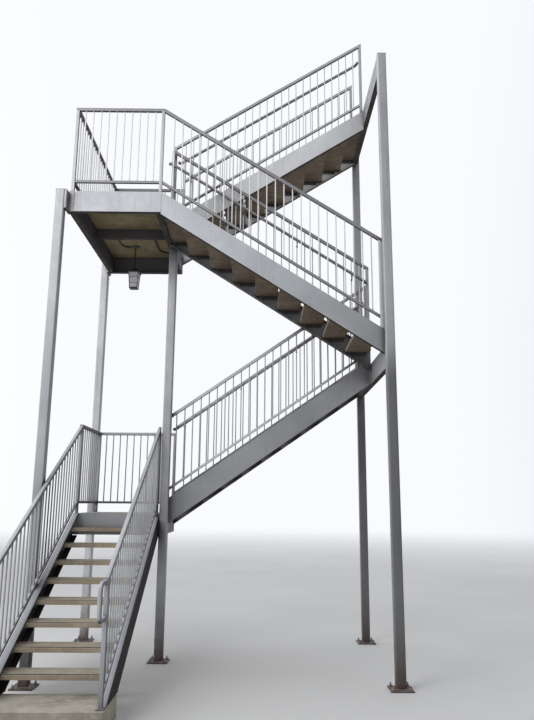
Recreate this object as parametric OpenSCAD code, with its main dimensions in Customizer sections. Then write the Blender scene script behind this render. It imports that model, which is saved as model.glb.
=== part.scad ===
// Outdoor steel escape stair: four flights, two landings, five posts.
// Everything is built in a working frame with X = 0 at the inner edge of the
// landings, Y = 0 at the front face of the near side and Z = 0 at the ground,
// then moved so that the origin is the middle of the footprint at ground level.

/* [Flights] */
// Going of the treads on flights 3 and 4
tread_run = 280; // [270:1:290]
// Going of the treads on flight 2
tread_run_2 = 264; // [260:1:268]
// Going of the treads on flight 1
tread_run_1 = 274; // [268:1:280]
// Rise of each step on flight 1
rise_1 = 163; // [158:0.5:170]
// Rise of each step on flight 2
rise_2 = 183.5; // [180:0.5:186]
// Rise of each step on flights 3 and 4
rise_3 = 178.5; // [175:0.5:182]
// Width of flights 2, 3 and 4 over the stringers
stair_w = 1025; // [960:5:1100]
// Thickness of a tread
tread_t = 40; // [30:1:40]

/* [Foot] */
// Height of the concrete step under flight 1
pad_h = 180; // [120:5:220]
// Depth of the concrete step, front to back
pad_d = 520; // [480:10:700]

/* [Steel] */
// Depth of the channels used for stringers and landing beams
ch_d = 229; // [229:1:254]
// Depth of the stringers of flight 2
ch_d2 = 249; // [229:1:254]
// Depth of the walkway edge channels
hd_d = 250; // [229:1:260]
// Flange width of the channels
ch_f = 62; // [55:1:66]
// Web thickness of the channels
ch_w = 6; // [5:0.5:8]
// Flange thickness of the channels
ch_t = 10; // [8:0.5:10]
// Side of the square posts
post = 102; // [90:1:110]
// Wall thickness of the square posts
post_wall = 6; // [4:0.5:8]
// Thickness of the landing decks
deck_t = 20; // [15:1:25]
// Side of the square base plates
plate = 230; // [200:5:260]
// Thickness of the base plates
plate_t = 14; // [10:1:20]
// Diameter of the anchor holes
anchor_d = 18; // [14:1:22]
// Distance between the anchor holes of a plate
anchor_s = 170; // [160:5:180]

/* [Railings] */
// Height of the top rail's centre over a landing
rail_h = 1048; // [1000:1:1100]
// Height of the top rail's centre over a stringer's top edge
rail_s = 1044; // [980:1:1080]
// height of flight 1 railing top over the stringer edge line
rail_s1 = 1020; // [980:1:1080]
// The same on flight 2
rail_s2 = 994; // [940:1:1044]
// Height of the bottom rail's centre over a landing or stringer
rail_b = 128; // [100:1:150]
// The same on flight 2
rail_b2 = 110; // [85:1:130]
// Side of the top rails and newels
rail_t = 38; // [32:1:45]
// Side of the bottom rails
rail_bt = 30; // [25:1:38]
// Side of the balusters
bal = 13; // [12:1:16]
// Largest distance between baluster centres
bal_s = 100; // [90:1:110]
// Diameter of the handrails
hand_d = 38; // [32:1:42]
// Distance of the handrails below the top rails
hand_drop = 223; // [180:1:240]
// The same on flight 2
hand_drop_2 = 187; // [170:1:223]
// Distance of the handrails from the railing plane
hand_off = 72; // [60:1:90]

/* [Hidden] */
e = 0.01;

// counts
n1 = 9;            // risers of flight 1, from the concrete step to the low landing
n2 = 10;           // risers of flight 2
n3 = 10;           // risers of flight 3
n4 = 10;           // risers of flight 4
lip = 25;          // stringer top edge over the line of the tread noses
well = post;       // open well between the near and the far flights

// levels
low_z = pad_h + n1 * rise_1;
second_z = low_z + n2 * rise_2;
mid_z = second_z + n3 * rise_3;
third_z = mid_z + n4 * rise_3;

// plan, working frame
run = 9 * tread_run;               // landing edge to walkway header
yb = 2 * stair_w + well;           // back face
y2 = stair_w + well;               // near face of flights 2 and 4
post_x = -1079;                    // inner face of the left posts
f1_l = post_x;                      // left face of flight 1 and of the low landing
f1_r = -49;                        // right face of flight 1
mid_l = -1055;                     // left edge of the mid landing
mp_x = 14;                         // centre of the middle post
mp_y = stair_w + well / 2;
wp_x = run - 12;                    // left face of the walkway posts

// slopes
s1 = rise_1 / tread_run_1;
s2 = rise_2 / tread_run_2;
s3 = rise_3 / tread_run;
function v(s) = sqrt(1 + s * s);   // vertical over square-on thickness
o1 = lip / s1;                     // shift of the nose line so that the stringer
o3 = lip / s3;                     // meets the deck edge
x2n = 85;                          // first nose of flight 2
x4n = 69;                          // first nose of flight 4

// top edge of each stringer
function top1(y) = low_z - (y2 - y) * s1;
function top2(x) = low_z + rise_2 + lip + (x - x2n) * s2;
function top3(x) = mid_z - x * s3;
function top4(x) = mid_z + rise_3 + lip + (x - x4n) * s3;

foot_y = y2 + o1 - n1 * tread_run_1;   // front of the stringers of flight 1
end_y = foot_y - 115;                   // last newel of flight 1
foot_t = 8;                             // foot plate under a stringer and its newel
loop = 200;                             // length of the level rail past it
loop_r = 60;
loop_h = 285;
pad_y = end_y - 60;

// footprint, from the left posts' plates to the walkway posts' plates and
// from the rail loops of flight 1 to the plates of the back posts
fx0 = post_x - post / 2 - plate / 2;
fx1 = wp_x + post / 2 + plate / 2;
fy0 = end_y - loop - rail_t / 2;
fy1 = yb + post / 2 + plate / 2;
cx = (fx0 + fx1) / 2;
cy = (fy0 + fy1) / 2;

steel = [0.72, 0.74, 0.78];
dark_steel = [0.45, 0.46, 0.50];
concrete = [0.66, 0.60, 0.50];
brown = [0.36, 0.27, 0.20];

module place() translate([-cx, -cy, 0]) children();

// a flat outline in XZ, given thickness from y0 to y1
module xz(y0, y1) translate([0, y1, 0]) rotate([90, 0, 0]) linear_extrude(y1 - y0) children();
// a flat outline in YZ, given thickness from x0 to x1
module yz(x0, x1) translate([x0, 0, 0]) rotate([90, 0, 90]) linear_extrude(x1 - x0) children();
// box between two corners
module box(a, b) translate(a) cube([b[0] - a[0], b[1] - a[1], b[2] - a[2]]);

// sloping band: centre line from (a, za) to (b, zb), thickness t up and down
module band(a, za, b, zb, t) polygon([[a, za - t / 2], [b, zb - t / 2], [b, zb + t / 2], [a, za + t / 2]]);
// sloping band hung under its top line
module hang(a, za, b, zb, t) polygon([[a, za - t], [b, zb - t], [b, zb], [a, za]]);

// straight channel along X, web outside at y, toes towards d (+1 or -1)
module channel_x(x0, x1, y, d, zt, depth = ch_d, f = ch_f, w = ch_w, t = ch_t) {
  ya = d > 0 ? y : y - f;
  yw = d > 0 ? y : y - w;
  box([x0, yw, zt - depth], [x1, yw + w, zt]);
  box([x0, ya, zt - t], [x1, ya + f, zt]);
  box([x0, ya, zt - depth], [x1, ya + f, zt - depth + t]);
}
module channel_y(y0, y1, x, d, zt, depth = ch_d, f = ch_f, w = ch_w, t = ch_t) {
  xa = d > 0 ? x : x - f;
  xw = d > 0 ? x : x - w;
  box([xw, y0, zt - depth], [xw + w, y1, zt]);
  box([xa, y0, zt - t], [xa + f, y1, zt]);
  box([xa, y0, zt - depth], [xa + f, y1, zt - depth + t]);
}

// sloping channel in a plane of constant Y, plumb cut at both ends
module stringer_x(x0, x1, za, zb, s, y, d, depth = ch_d) {
  ya = d > 0 ? y : y - ch_f;
  yw = d > 0 ? y : y - ch_w;
  dv = depth * v(s);
  tv = ch_t * v(s);
  xz(yw, yw + ch_w) hang(x0, za, x1, zb, dv);
  xz(ya, ya + ch_f) hang(x0, za, x1, zb, tv);
  xz(ya, ya + ch_f) hang(x0, za - dv + tv, x1, zb - dv + tv, tv);
}

// sloping channel of flight 1, with a level foot on the concrete step
module stringer_1(x, d) {
  xa = d > 0 ? x : x - ch_f;
  xw = d > 0 ? x : x - ch_w;
  dv = ch_d * v(s1);
  tv = ch_t * v(s1);
  zf = pad_h + foot_t;
  function at(z) = y2 - (low_z - z) / s1;      // where the top edge is at height z
  nose = at(zf);
  heel = at(zf + dv);
  yz(xw, xw + ch_w) polygon([[nose, zf], [heel, zf], [y2, low_z - dv], [y2, low_z]]);
  yz(xa, xa + ch_f) polygon([[nose, zf], [at(zf + tv), zf], [y2, low_z - tv], [y2, low_z]]);
  yz(xa, xa + ch_f) polygon([[at(zf + dv - tv), zf], [heel, zf], [y2, low_z - dv], [y2, low_z - dv + tv]]);
  // foot plate, run out under the newel
  box([xa, end_y - 12, pad_h], [xa + ch_f, heel + 8, zf]);
}

// railing panel along X in the plane y = 0. zs is the height of what carries it
// at a, s its slope, hh the height of the top rail over it
module panel(a, b, zs, s, hh, ends = [1, 1], rb = rail_b, foot = undef) {
  function z(x) = zs + (x - a) * s;
  h = rail_t / 2;
  k = v(s);
  n = ceil((b - a - rail_t) / bal_s);
  p = (b - a - rail_t) / n;
  xz(-h, h) band(a, z(a) + hh, b, z(b) + hh, rail_t * k);
  xz(-rail_bt / 2, rail_bt / 2) band(a, z(a) + rb, b, z(b) + rb, rail_bt * k);
  for (i = [1:n - 1]) {
    x = a + h + i * p;
    xz(-bal / 2, bal / 2) polygon([
      [x - bal / 2, z(x - bal / 2) + rb], [x + bal / 2, z(x + bal / 2) + rb],
      [x + bal / 2, z(x + bal / 2) + hh], [x - bal / 2, z(x - bal / 2) + hh]]);
  }
  if (ends[0]) newel(a, is_undef(foot) ? z(a) : foot, is_undef(foot) ? z(a + rail_t) : foot, z(a) + hh, z(a + rail_t) + hh);
  if (ends[1]) newel(b - rail_t, z(b - rail_t), z(b), z(b - rail_t) + hh, z(b) + hh);
}
module newel(x, z0, z1, t0, t1)
  xz(-rail_t / 2, rail_t / 2) polygon([[x, z0], [x + rail_t, z1], [x + rail_t, t1], [x, t0]]);

// the same panel along Y in the plane x
module panel_y(x, a, b, zs, s, hh, ends = [1, 1], foot = undef)
  translate([x, 0, 0]) rotate([0, 0, 90]) panel(a, b, zs, s, hh, ends, rail_b, foot);

// ---- posts ----
lb_d = ch_d + deck_t;    // depth of the landings' edge channels, flush with the deck
bracket = 90;            // length of the brackets behind the left posts
module tube(x, y, z0, z1) difference() {
  box([x, y, z0], [x + post, y + post, z1]);
  box([x + post_wall, y + post_wall, z0 - 1], [x + post - post_wall, y + post - post_wall, z1 + 1]);
}
module post_front_left() color(steel) {
  tube(post_x - post, -post, plate_t, mid_z - deck_t - 6);
  box([post_x - post, -post, mid_z - deck_t - 6], [post_x, 0, mid_z - deck_t]);
  // bracket plate between the post and the left beam
  box([post_x - e, -post + 4, mid_z - lb_d], [mid_l, bracket, mid_z - deck_t]);
}
module post_back_left() color(steel) {
  tube(post_x - post, yb, plate_t, mid_z - deck_t - 6);
  box([post_x - post, yb, mid_z - deck_t - 6], [post_x, yb + post, mid_z - deck_t]);
  box([post_x - e, yb - bracket, mid_z - lb_d], [mid_l, yb + post - 4, mid_z - deck_t]);
}
module post_middle() color(steel) {
  zt = mid_z - deck_t - ch_d;
  tube(mp_x - post / 2, mp_y - post / 2, plate_t, zt - 10);
  box([mp_x - post / 2, mp_y - post / 2, zt - 10], [mp_x + post / 2, mp_y + post / 2, zt]);
  // packing plate to flight 1's right stringer
  box([f1_r, mp_y - post / 2 + 20, top1(mp_y) - 190], [mp_x - post / 2 + e, mp_y + post / 2 - 20, top1(mp_y) - 60]);
}
module walkway_post(y) {
  tube(wp_x, y, plate_t, third_z - deck_t - 8);
  box([wp_x, y, third_z - deck_t - 8], [wp_x + post, y + post, third_z - deck_t]);
}
module post_walkway_near() color(steel) walkway_post(-post);
module post_walkway_far() color(steel) walkway_post(yb);

module base_plate(x, y) difference() {
  box([x - plate / 2, y - plate / 2, 0], [x + plate / 2, y + plate / 2, plate_t]);
  for (i = [-1, 1], j = [-1, 1])
    translate([x + i * anchor_s / 2, y + j * anchor_s / 2, -1]) cylinder(h = plate_t + 2, d = anchor_d, $fn = 48);
}
module base_plates() color(dark_steel) {
  base_plate(post_x - post / 2, -post / 2);
  base_plate(post_x - post / 2, yb + post / 2);
  base_plate(mp_x, mp_y);
  base_plate(wp_x + post / 2, -post / 2);
  base_plate(wp_x + post / 2, yb + post / 2);
}

module foot_step() color(concrete)
  box([f1_l - 10, pad_y, 0], [f1_r + 10, pad_y + pad_d, pad_h]);

// ---- mid landing ----
mz = mid_z - deck_t;
module mid_side_beams() color(steel) {
  channel_x(mid_l + ch_f, 0, 0, 1, mid_z, lb_d);
  channel_x(mid_l + ch_f, 0, yb, -1, mid_z, lb_d);
}
// left beam, toes outward, closed by a plate at each end
module mid_left_beam() color(steel) {
  channel_y(0, yb, mid_l + ch_f, -1, mid_z, lb_d);
  for (y = [2, yb - 8]) box([mid_l, y, mid_z - lb_d + ch_t], [mid_l + ch_f - ch_w, y + 6, mid_z - ch_t]);
}
// inner beam on the middle post
module mid_inner_beam() color(steel) channel_y(ch_f, yb - ch_f, 0, -1, mz);
module mid_joist() color(steel) channel_x(mid_l + ch_f, -ch_f, mp_y - 22, 1, mz, 127, 45, 5, 8);
module mid_deck() color(brown) box([mid_l + ch_f, ch_f, mz], [0, yb - ch_f, mid_z]);

// ---- low landing ----
lz = low_z - deck_t;
module low_side_beams() color(steel) {
  channel_x(f1_l + ch_f, -ch_f, y2, 1, low_z, lb_d);
  channel_x(f1_l + ch_f, -ch_f, yb, -1, low_z, lb_d);
}
module low_cross_beams() color(steel) {
  channel_y(y2, yb + post, f1_l, 1, low_z, lb_d);
  channel_y(y2, yb, 0, -1, low_z, lb_d);
}
module low_deck() color(brown) box([f1_l + ch_f, y2 + ch_f, lz], [-ch_f, yb - ch_f, low_z]);

// ---- walkway headers ----
module header(zt) channel_y(0, yb, run, 1, zt, hd_d);
module walkway_headers() color(steel) {
  header(second_z);
  header(third_z);
}

// ---- stringers ----
module flight_1_stringers() color(steel) {
  stringer_1(f1_l, 1);
  stringer_1(f1_r, -1);
}
module flight_2_stringers() color(steel) {
  stringer_x(0, run, top2(0), top2(run), s2, y2, 1, ch_d2);
  stringer_x(0, run, top2(0), top2(run), s2, yb, -1, ch_d2);
}
module flight_3_stringers() color(steel) {
  stringer_x(0, run, top3(0), top3(run), s3, 0, 1);
  stringer_x(0, run, top3(0), top3(run), s3, stair_w, -1);
}
module flight_4_stringers() color(steel) {
  stringer_x(0, run, top4(0), top4(run), s3, y2, 1);
  stringer_x(0, run, top4(0), top4(run), s3, yb, -1);
}

// ---- treads ----
module flight_1_treads() color(concrete) for (k = [1:n1 - 1])
  box([f1_l + ch_w, y2 + o1 - k * tread_run_1, low_z - k * rise_1 - tread_t],
      [f1_r - ch_w, min(y2, y2 + o1 - (k - 1) * tread_run_1) - 0, low_z - k * rise_1]);
// the last one is a narrow nosing at the walkway's level
module flight_2_treads() color(concrete) for (k = [1:n2])
  box([x2n + (k - 1) * tread_run_2, y2 + ch_w, low_z + k * rise_2 - tread_t],
      [min(run, x2n + k * tread_run_2), yb - ch_w, low_z + k * rise_2]);
module flight_3_treads() color(concrete) for (k = [1:n3 - 1])
  box([max(0, -o3 + (k - 1) * tread_run), ch_w, mid_z - k * rise_3 - tread_t],
      [-o3 + k * tread_run, stair_w - ch_w, mid_z - k * rise_3]);
module flight_4_treads() color(concrete) for (k = [1:n4 - 1])
  box([x4n + (k - 1) * tread_run, y2 + ch_w, mid_z + k * rise_3 - tread_t],
      [min(run, x4n + k * tread_run), yb - ch_w, mid_z + k * rise_3]);

// ---- steel angles under the tread ends ----
al = 190;   // length of an angle
aw = 38;    // leg
at = 5;     // thickness
// angle along X under a tread end, fixed to a web at y with toes towards d
module angle_x(x, y, d, z) {
  box([x, d > 0 ? y : y - at, z - aw], [x + al, d > 0 ? y + at : y, z]);
  box([x, d > 0 ? y : y - aw, z - at], [x + al, d > 0 ? y + aw : y, z]);
}
module angle_y(y, x, d, z) {
  box([d > 0 ? x : x - at, y, z - aw], [d > 0 ? x + at : x, y + al, z]);
  box([d > 0 ? x : x - aw, y, z - at], [d > 0 ? x + aw : x, y + al, z]);
}
module angles_1() for (k = [1:n1 - 1]) {
  y = y2 + o1 - k * tread_run_1 + 35;
  z = low_z - k * rise_1 - tread_t;
  angle_y(y, f1_l + ch_w, 1, z);
  angle_y(y, f1_r - ch_w, -1, z);
}
module angles_2() for (k = [1:n2 - 1]) {
  x = x2n + (k - 1) * tread_run_2 + 8;
  z = low_z + k * rise_2 - tread_t;
  angle_x(x, y2 + ch_w, 1, z);
  angle_x(x, yb - ch_w, -1, z);
}
module angles_3() for (k = [1:n3 - 1]) {
  x = -o3 + k * tread_run - al - 12;
  z = mid_z - k * rise_3 - tread_t;
  angle_x(x, ch_w, 1, z);
  angle_x(x, stair_w - ch_w, -1, z);
}
module angles_4() for (k = [1:n4 - 1]) {
  x = x4n + (k - 1) * tread_run + 12;
  z = mid_z + k * rise_3 - tread_t;
  angle_x(x, y2 + ch_w, 1, z);
  angle_x(x, yb - ch_w, -1, z);
}

module tread_angles() color(dark_steel) {
  angles_1();
  angles_2();
  angles_3();
  angles_4();
}

// ---- railings ----
c = ch_f / 2;            // railing plane from the outer face of what carries it
nx = -rail_t;            // newels stand on the landing's inner edge
ex = run - 6;            // end of the railings at the walkway

// level rail past the last newel, turned down and back: a closed loop
module rail_loop(x) translate([x, 0, 0]) {
  y1 = end_y;
  zt = top1(end_y) + rail_s1 - 6;
  yo = y1 - loop + loop_r;
  translate([0, y1, zt]) rotate([90, 0, 0]) cylinder(h = loop - loop_r, d = rail_t, $fn = 48);
  translate([0, yo, zt - loop_r]) rotate([0, -90, 0]) rotate([0, 0, -90])
    rotate_extrude(angle = 90, $fn = 64) translate([loop_r, 0]) circle(d = rail_t, $fn = 48);
  translate([0, yo - loop_r, zt - loop_h + loop_r]) cylinder(h = loop_h - 2 * loop_r, d = rail_t, $fn = 48);
  translate([0, yo, zt - loop_h + loop_r]) rotate([0, -90, 0]) rotate([0, 0, 180])
    rotate_extrude(angle = 90, $fn = 64) translate([loop_r, 0]) circle(d = rail_t, $fn = 48);
  translate([0, y1, zt - loop_h]) rotate([90, 0, 0]) cylinder(h = loop - loop_r, d = rail_t, $fn = 48);
}
module flight_1_left_railing() color(steel)
  panel_y(f1_l + c, end_y, y2, top1(end_y), s1, rail_s1, [1, 0], pad_h + foot_t);
module flight_1_right_railing() color(steel)
  panel_y(f1_r - c, end_y, y2, top1(end_y), s1, rail_s1, [1, 1], pad_h + foot_t);
module flight_1_rail_loops() color(steel) {
  rail_loop(f1_l + c);
  rail_loop(f1_r - c);
}
module flight_2_near_railing() color(steel)
  translate([0, y2 + c, 0]) panel(0, ex, top2(0), s2, rail_s2, [1, 1], rail_b2);
module flight_2_far_railing() color(steel)
  translate([0, yb - c, 0]) panel(0, ex, top2(0), s2, rail_s2, [0, 1], rail_b2);
module flight_3_near_railing() color(steel)
  translate([0, c, 0]) panel(0, ex, top3(0), -s3, rail_s, [0, 1]);
module flight_3_far_railing() color(steel)
  translate([0, stair_w - c, 0]) panel(0, ex, top3(0), -s3, rail_s, [0, 1]);
module flight_4_near_railing() color(steel)
  translate([0, y2 + c, 0]) panel(0, ex, top4(0), s3, rail_s, [0, 1]);
// newels on the landing at the well, and the short guard between them
module well_guard() color(steel) {
  translate([0, stair_w - c, 0]) newel(nx, mid_z, mid_z, mid_z + rail_h + 19, mid_z + rail_h + 19);
  translate([0, y2 + c, 0]) newel(nx, mid_z, mid_z, top4(0) + rail_s + 12, top4(0) + rail_s + 12);
  for (z = [mid_z + rail_b, mid_z + 560, mid_z + rail_h])
    box([nx + 4, stair_w - c + rail_t / 2 - e, z - 15], [nx + 34, y2 + c - rail_t / 2 + e, z + 15]);
}
module flight_4_far_railing() color(steel)
  translate([0, yb - c, 0]) panel(0, ex, top4(0), s3, rail_s, [0, 1]);

module mid_front_railing() color(steel)
  translate([0, c, 0]) panel(mid_l + c - rail_t / 2, 0, mid_z, 0, rail_h);
module mid_left_railing() color(steel)
  panel_y(mid_l + c, c + rail_t / 2, yb - c - rail_t / 2, mid_z, 0, rail_h, [0, 0]);
module mid_back_railing() color(steel)
  translate([0, yb - c, 0]) panel(mid_l + c - rail_t / 2, 0, mid_z, 0, rail_h);
module low_left_railing() color(steel)
  panel_y(f1_l + c, y2, yb - c - rail_t / 2, low_z, 0, rail_h, [1, 0]);
module low_back_railing() color(steel)
  translate([0, yb - c, 0]) panel(f1_l + c - rail_t / 2, 0, low_z, 0, rail_h);

// ---- handrails on the inner railings ----
module hand(x0, z0, x1, z1, y, d, xs) {
  s = (z1 - z0) / (x1 - x0);
  a = atan(s);
  translate([x0, y, z0]) rotate([0, 90 - a, 0]) cylinder(h = (x1 - x0) / cos(a), d = hand_d, $fn = 48);
  // brackets to the balusters
  for (x = xs) translate([x, d > 0 ? y - hand_off + bal / 2 : y, z0 + (x - x0) * s])
    rotate([-90, 0, 0]) cylinder(h = hand_off - bal / 2, d = 12, $fn = 24);
}
// position of baluster i of a railing that runs from 0 to ex
bn = ceil((ex - rail_t) / bal_s);
function bx(i) = rail_t / 2 + i * (ex - rail_t) / bn;
bs = [bx(2), bx(9), bx(16), bx(23)];
module flight_2_handrail() color(steel)
  hand(90, top2(90) + rail_s2 - hand_drop_2, run - 60, top2(run - 60) + rail_s2 - hand_drop_2, y2 + c + hand_off, 1, bs);
module flight_3_handrail() color(steel)
  hand(-60, top3(-60) + rail_s - hand_drop, run - 60, top3(run - 60) + rail_s - hand_drop, stair_w - c - hand_off, -1, bs);
module flight_4_handrail() color(steel)
  hand(30, top4(30) + rail_s - hand_drop, run - 60, top4(run - 60) + rail_s - hand_drop, y2 + c + hand_off, 1, bs);

// ---- light under the mid landing ----
lx = -597;
ly = 1660;
lb = mid_z - 634;      // underside of the lantern
// square frustum between heights z0 and z1
module taper(w0, z0, w1, z1) {
  a = w0 / 2;
  b = w1 / 2;
  translate([lx, ly, 0]) polyhedron(
    [[-a, -a, z0], [a, -a, z0], [a, a, z0], [-a, a, z0], [-b, -b, z1], [b, -b, z1], [b, b, z1], [-b, b, z1]],
    [[0, 1, 2, 3], [4, 7, 6, 5], [0, 4, 5, 1], [1, 5, 6, 2], [2, 6, 7, 3], [3, 7, 4, 0]]);
}
module lantern() color(dark_steel) {
  translate([lx, ly, mz - 22]) cylinder(h = 22, d = 120, $fn = 48);
  translate([lx, ly, lb + 300]) cylinder(h = mz - 21 - lb - 300, d = 14, $fn = 32);
  taper(110, lb, 118, lb + 12);
  taper(114, lb + 12 - e, 146, lb + 224);
  taper(166, lb + 224 - e, 162, lb + 238);
  taper(150, lb + 238 - e, 40, lb + 300 + e);
}
// metal conduit under the deck: from the lantern's rose to the joist, and
// from the joist to the inner beam
module bend(x, y, z, r, a0, a1) translate([x, y, z]) rotate([0, 0, a0])
  rotate_extrude(angle = a1 - a0, $fn = 64) translate([r, 0]) circle(d = 20, $fn = 32);
module conduit() color([0.2, 0.2, 0.22]) {
  z = mz - 11;
  r = 110;
  xa = lx - 68 - r;           // leg towards the joist
  ya = mp_y - 22 + 45;        // back of the joist
  translate([xa + r, ly, z]) rotate([0, 90, 0]) cylinder(h = lx - 60 - xa - r, d = 20, $fn = 32);
  bend(xa + r, ly - r, z, r, 90, 180);
  translate([xa, ya, z]) rotate([-90, 0, 0]) cylinder(h = ly - r - ya, d = 20, $fn = 32);
  xb = -290;
  yj = 1875;
  rb = 150;
  translate([xb, ya, z]) rotate([-90, 0, 0]) cylinder(h = yj - rb - ya, d = 20, $fn = 32);
  bend(xb + rb, yj - rb, z, rb, 90, 180);
  translate([xb + rb, yj, z]) rotate([0, 90, 0]) cylinder(h = -ch_f - xb - rb, d = 20, $fn = 32);
}

place() post_front_left();
place() post_back_left();
place() post_middle();
place() post_walkway_near();
place() post_walkway_far();
place() base_plates();
place() foot_step();
place() mid_side_beams();
place() mid_left_beam();
place() mid_inner_beam();
place() mid_joist();
place() mid_deck();
place() low_side_beams();
place() low_cross_beams();
place() low_deck();
place() walkway_headers();
place() flight_1_stringers();
place() flight_2_stringers();
place() flight_3_stringers();
place() flight_4_stringers();
place() flight_1_treads();
place() flight_2_treads();
place() flight_3_treads();
place() flight_4_treads();
place() tread_angles();
place() flight_1_left_railing();
place() flight_1_right_railing();
place() flight_1_rail_loops();
place() flight_2_near_railing();
place() flight_2_far_railing();
place() flight_3_near_railing();
place() flight_3_far_railing();
place() flight_4_near_railing();
place() flight_4_far_railing();
place() well_guard();
place() flight_2_handrail();
place() flight_3_handrail();
place() flight_4_handrail();
place() mid_front_railing();
place() mid_left_railing();
place() mid_back_railing();
place() low_left_railing();
place() low_back_railing();
place() lantern();
place() conduit();
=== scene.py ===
import bpy, bmesh, math, random
from mathutils import Vector, Matrix


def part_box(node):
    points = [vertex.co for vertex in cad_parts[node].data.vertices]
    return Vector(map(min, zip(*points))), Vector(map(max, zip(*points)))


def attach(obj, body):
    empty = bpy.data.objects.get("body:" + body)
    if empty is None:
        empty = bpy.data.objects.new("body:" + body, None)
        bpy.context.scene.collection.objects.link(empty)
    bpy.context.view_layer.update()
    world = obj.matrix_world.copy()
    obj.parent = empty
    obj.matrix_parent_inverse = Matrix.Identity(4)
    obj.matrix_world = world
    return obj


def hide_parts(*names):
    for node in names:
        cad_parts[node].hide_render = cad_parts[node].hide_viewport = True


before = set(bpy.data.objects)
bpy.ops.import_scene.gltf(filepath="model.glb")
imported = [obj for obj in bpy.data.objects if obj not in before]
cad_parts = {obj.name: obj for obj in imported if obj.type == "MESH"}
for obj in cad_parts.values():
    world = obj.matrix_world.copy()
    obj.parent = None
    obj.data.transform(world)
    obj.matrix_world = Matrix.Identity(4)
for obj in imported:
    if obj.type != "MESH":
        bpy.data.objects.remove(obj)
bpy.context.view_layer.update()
random.seed(11)

# ------------------------------------------------------------------ sizes, mm
# working frame as in the CAD: x = 0 at the inner edge of the landings,
# y = 0 at the front face of the near side, z = 0 at the ground
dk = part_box("mid_side_beams")
X0, Y0 = dk[1][0], dk[0][1]
MID = dk[1][2] * 1000
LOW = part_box("low_deck")[1][2] * 1000
YB = (dk[1][1] - dk[0][1]) * 1000
RUN = (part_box("walkway_headers")[0][0] - X0) * 1000
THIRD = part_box("walkway_headers")[1][2] * 1000
POST = 102
SW = (YB - POST) / 2
Y2 = SW + POST
CH, CF, CW, CT = 229, 62, 6, 10
CH2 = 249        # depth of flight 2's stringers
HD = 250
DECK = 20
G1, G2, G3 = 274, 264, 280
R1, R2, R3 = 163, 183.5, 178.5
SECOND = LOW + 10 * R2
LD = CH + DECK   # depth of the landings' edge channels
PAD = 188        # top of the foot plates of flight 1
S1, S2, S3 = R1 / G1, R2 / G2, R3 / G3
F1L, F1R = -1079, -49
ML = -1055
LIP = 25
O1, O3 = LIP / S1, LIP / S3
X2N, X4N = 85, 69
RH, RS, RS2, RB, RB2 = 1048, 1044, 994, 128, 110
RT, RBT, BAL, BS = 38, 30, 13, 100
HDR, HDR2, HO, HD_D = 223, 187, 72, 38
C = CF / 2
EX = RUN - 6
FOOT = Y2 + O1 - 9 * G1
END = FOOT - 115
LOOP, LOOP_R, LOOP_H = 200, 60, 285
RS1 = 1020       # railing of flight 1
MPX, MPY = 14, SW + POST / 2
top1 = lambda y: LOW - (Y2 - y) * S1
top2 = lambda x: LOW + R2 + LIP + (x - X2N) * S2
top3 = lambda x: MID - x * S3
top4 = lambda x: MID + R3 + LIP + (x - X4N) * S3
kk = lambda s: math.sqrt(1 + s * s)


def W(x, y, z):
    return Vector((X0 + x / 1000, Y0 + y / 1000, z / 1000))


EXx, EYy, EZz = Vector((1, 0, 0)), Vector((0, 1, 0)), Vector((0, 0, 1))

# ------------------------------------------------------------------ materials


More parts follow.
